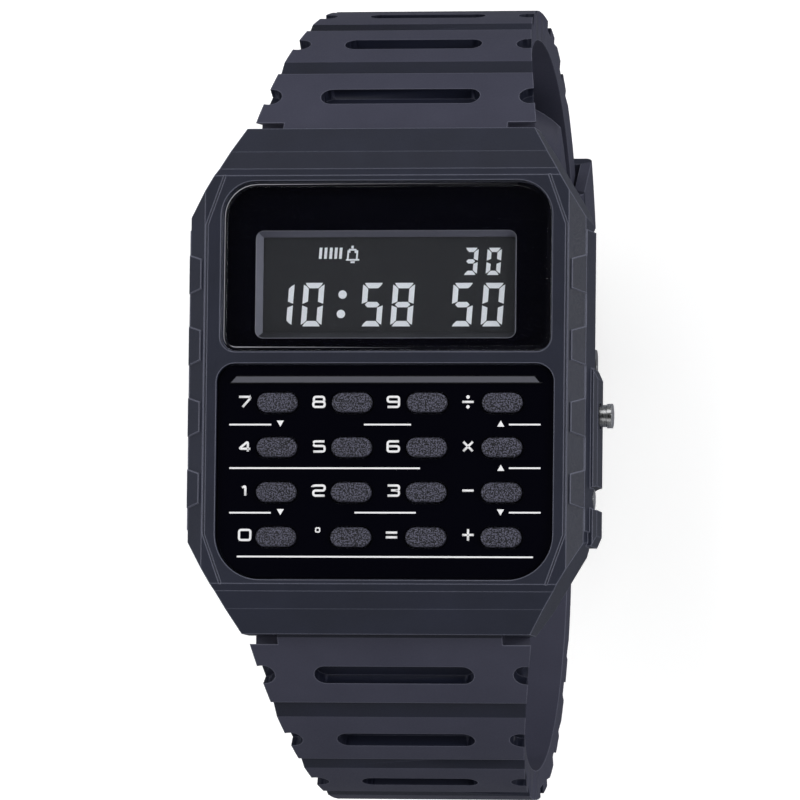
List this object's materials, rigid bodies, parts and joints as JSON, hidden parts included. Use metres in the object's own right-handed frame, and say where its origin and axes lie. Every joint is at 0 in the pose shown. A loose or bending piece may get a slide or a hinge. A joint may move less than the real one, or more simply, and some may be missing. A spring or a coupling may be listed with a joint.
{
  "type": "calculator wristwatch",
  "caption": "Digital calculator wristwatch with a resin case, a liquid crystal display, a keypad, two side pushers and a ribbed resin strap with a buckle and a keeper.",
  "frame": {"origin": "middle of the case back's outer face, where the watch meets the wrist", "axes": "+Z out of the face, +Y towards twelve o'clock, +X towards three o'clock; the strap hangs below"},
  "size_m": [0.0363, 0.0698, 0.0607],
  "materials": {
    "case_resin": "moulded, satin",
    "strap_resin": "moulded, fine grain",
    "window_glass": "polished, tinted",
    "mask_plastic": "satin",
    "lcd_glass": "dark liquid crystal glass",
    "panel_plastic": "gloss",
    "key_plastic": "fine matt",
    "membrane_rubber": "matt silicone",
    "module_plastic": "moulded",
    "board_laminate": "solder resist",
    "chip_resin": "cast resin",
    "plated_steel": "nickel plated",
    "spring_steel": "drawn",
    "insulator_film": "thin film",
    "seal_rubber": "smooth",
    "pusher_steel": "turned",
    "back_steel": "brushed along the watch",
    "buckle_steel": "pressed and brushed",
    "buzzer_brass": "rolled"
  },
  "bodies": {
    "watch": {"case": "case_resin", "display_window": "window_glass", "display_frame": "mask_plastic", "lcd_panel": "lcd_glass", "zebra_connector": "seal_rubber", "module_frame": "module_plastic", "circuit_board": "board_laminate", "ic_chip": "chip_resin", "crystal": "plated_steel", "battery": "plated_steel", "battery_clip": "spring_steel", "insulator_sheet": "insulator_film", "keypad_panel": "panel_plastic", "keypad_membrane": "membrane_rubber", "mode_spring": "spring_steel", "mode_gasket": "seal_rubber", "adjust_spring": "spring_steel", "adjust_gasket": "seal_rubber", "case_back": "back_steel", "back_gasket": "seal_rubber", "back_screws": "pusher_steel", "buzzer_disc": "buzzer_brass", "buzzer_spring": "spring_steel", "top_spring_bar": "spring_steel", "bottom_spring_bar": "spring_steel"},
    "key_7": {"key_7": "key_plastic"},
    "key_8": {"key_8": "key_plastic"},
    "key_9": {"key_9": "key_plastic"},
    "key_divide": {"key_divide": "key_plastic"},
    "key_4": {"key_4": "key_plastic"},
    "key_5": {"key_5": "key_plastic"},
    "key_6": {"key_6": "key_plastic"},
    "key_multiply": {"key_multiply": "key_plastic"},
    "key_1": {"key_1": "key_plastic"},
    "key_2": {"key_2": "key_plastic"},
    "key_3": {"key_3": "key_plastic"},
    "key_minus": {"key_minus": "key_plastic"},
    "key_0": {"key_0": "key_plastic"},
    "key_point": {"key_point": "key_plastic"},
    "key_equals": {"key_equals": "key_plastic"},
    "key_plus": {"key_plus": "key_plastic"},
    "mode_pusher": {"mode_pusher": "pusher_steel", "mode_clip": "spring_steel"},
    "adjust_pusher": {"adjust_pusher": "pusher_steel", "adjust_clip": "spring_steel"},
    "strap_buckle_half": {"strap_buckle_half": "strap_resin", "buckle_pin": "buckle_steel"},
    "strap_hole_half": {"strap_hole_half": "strap_resin"},
    "buckle_frame": {"buckle_frame": "buckle_steel"},
    "buckle_tongue": {"buckle_tongue": "buckle_steel"},
    "strap_keeper": {"strap_keeper": "strap_resin"}
  },
  "joints": [
    {"name": "key_7_press", "type": "slide", "parent": "watch", "child": "key_7", "axis": [0, 0, -1], "range_m": [0, 0.00055], "stiffness_N_per_m": 500},
    {"name": "key_8_press", "type": "slide", "parent": "watch", "child": "key_8", "axis": [0, 0, -1], "range_m": [0, 0.00055], "stiffness_N_per_m": 500},
    {"name": "key_9_press", "type": "slide", "parent": "watch", "child": "key_9", "axis": [0, 0, -1], "range_m": [0, 0.00055], "stiffness_N_per_m": 500},
    {"name": "key_divide_press", "type": "slide", "parent": "watch", "child": "key_divide", "axis": [0, 0, -1], "range_m": [0, 0.00055], "stiffness_N_per_m": 500},
    {"name": "key_4_press", "type": "slide", "parent": "watch", "child": "key_4", "axis": [0, 0, -1], "range_m": [0, 0.00055], "stiffness_N_per_m": 500},
    {"name": "key_5_press", "type": "slide", "parent": "watch", "child": "key_5", "axis": [0, 0, -1], "range_m": [0, 0.00055], "stiffness_N_per_m": 500},
    {"name": "key_6_press", "type": "slide", "parent": "watch", "child": "key_6", "axis": [0, 0, -1], "range_m": [0, 0.00055], "stiffness_N_per_m": 500},
    {"name": "key_multiply_press", "type": "slide", "parent": "watch", "child": "key_multiply", "axis": [0, 0, -1], "range_m": [0, 0.00055], "stiffness_N_per_m": 500},
    {"name": "key_1_press", "type": "slide", "parent": "watch", "child": "key_1", "axis": [0, 0, -1], "range_m": [0, 0.00055], "stiffness_N_per_m": 500},
    {"name": "key_2_press", "type": "slide", "parent": "watch", "child": "key_2", "axis": [0, 0, -1], "range_m": [0, 0.00055], "stiffness_N_per_m": 500},
    {"name": "key_3_press", "type": "slide", "parent": "watch", "child": "key_3", "axis": [0, 0, -1], "range_m": [0, 0.00055], "stiffness_N_per_m": 500},
    {"name": "key_minus_press", "type": "slide", "parent": "watch", "child": "key_minus", "axis": [0, 0, -1], "range_m": [0, 0.00055], "stiffness_N_per_m": 500},
    {"name": "key_0_press", "type": "slide", "parent": "watch", "child": "key_0", "axis": [0, 0, -1], "range_m": [0, 0.00055], "stiffness_N_per_m": 500},
    {"name": "key_point_press", "type": "slide", "parent": "watch", "child": "key_point", "axis": [0, 0, -1], "range_m": [0, 0.00055], "stiffness_N_per_m": 500},
    {"name": "key_equals_press", "type": "slide", "parent": "watch", "child": "key_equals", "axis": [0, 0, -1], "range_m": [0, 0.00055], "stiffness_N_per_m": 500},
    {"name": "key_plus_press", "type": "slide", "parent": "watch", "child": "key_plus", "axis": [0, 0, -1], "range_m": [0, 0.00055], "stiffness_N_per_m": 500},
    {"name": "mode_press", "type": "slide", "parent": "watch", "child": "mode_pusher", "axis": [-1, 0, 0], "range_m": [0, 0.0008], "stiffness_N_per_m": 800, "deforming": ["mode_spring"]},
    {"name": "adjust_press", "type": "slide", "parent": "watch", "child": "adjust_pusher", "axis": [-1, 0, 0], "range_m": [0, 0.00045], "stiffness_N_per_m": 800, "deforming": ["adjust_spring"]},
    {"name": "buckle_half_turn", "type": "hinge", "parent": "watch", "child": "strap_buckle_half", "pos_m": [0, 0.0193, 0.0032], "axis": [1, 0, 0], "range_deg": [0, 25]},
    {"name": "hole_half_turn", "type": "hinge", "parent": "watch", "child": "strap_hole_half", "pos_m": [0, -0.0193, 0.0032], "axis": [-1, 0, 0], "range_deg": [0, 25]},
    {"name": "buckle_frame_turn", "type": "hinge", "parent": "strap_buckle_half", "child": "buckle_frame", "pos_m": [0, 0.0055, -0.0504], "axis": [1, 0, 0], "range_deg": [0, 45]},
    {"name": "buckle_tongue_turn", "type": "hinge", "parent": "buckle_frame", "child": "buckle_tongue", "pos_m": [0, 0.0055, -0.0504], "axis": [1, 0, 0], "range_deg": [0, 90]},
    {"name": "keeper_slide", "type": "hinge", "parent": "strap_buckle_half", "child": "strap_keeper", "pos_m": [0, 0.0069, -0.0237], "axis": [1, 0, 0], "range_deg": [0, 25]}
  ],
  "couplings": [
    {"joint": "hole_half_turn", "follows": "buckle_half_turn", "ratio": 1}
  ]
}
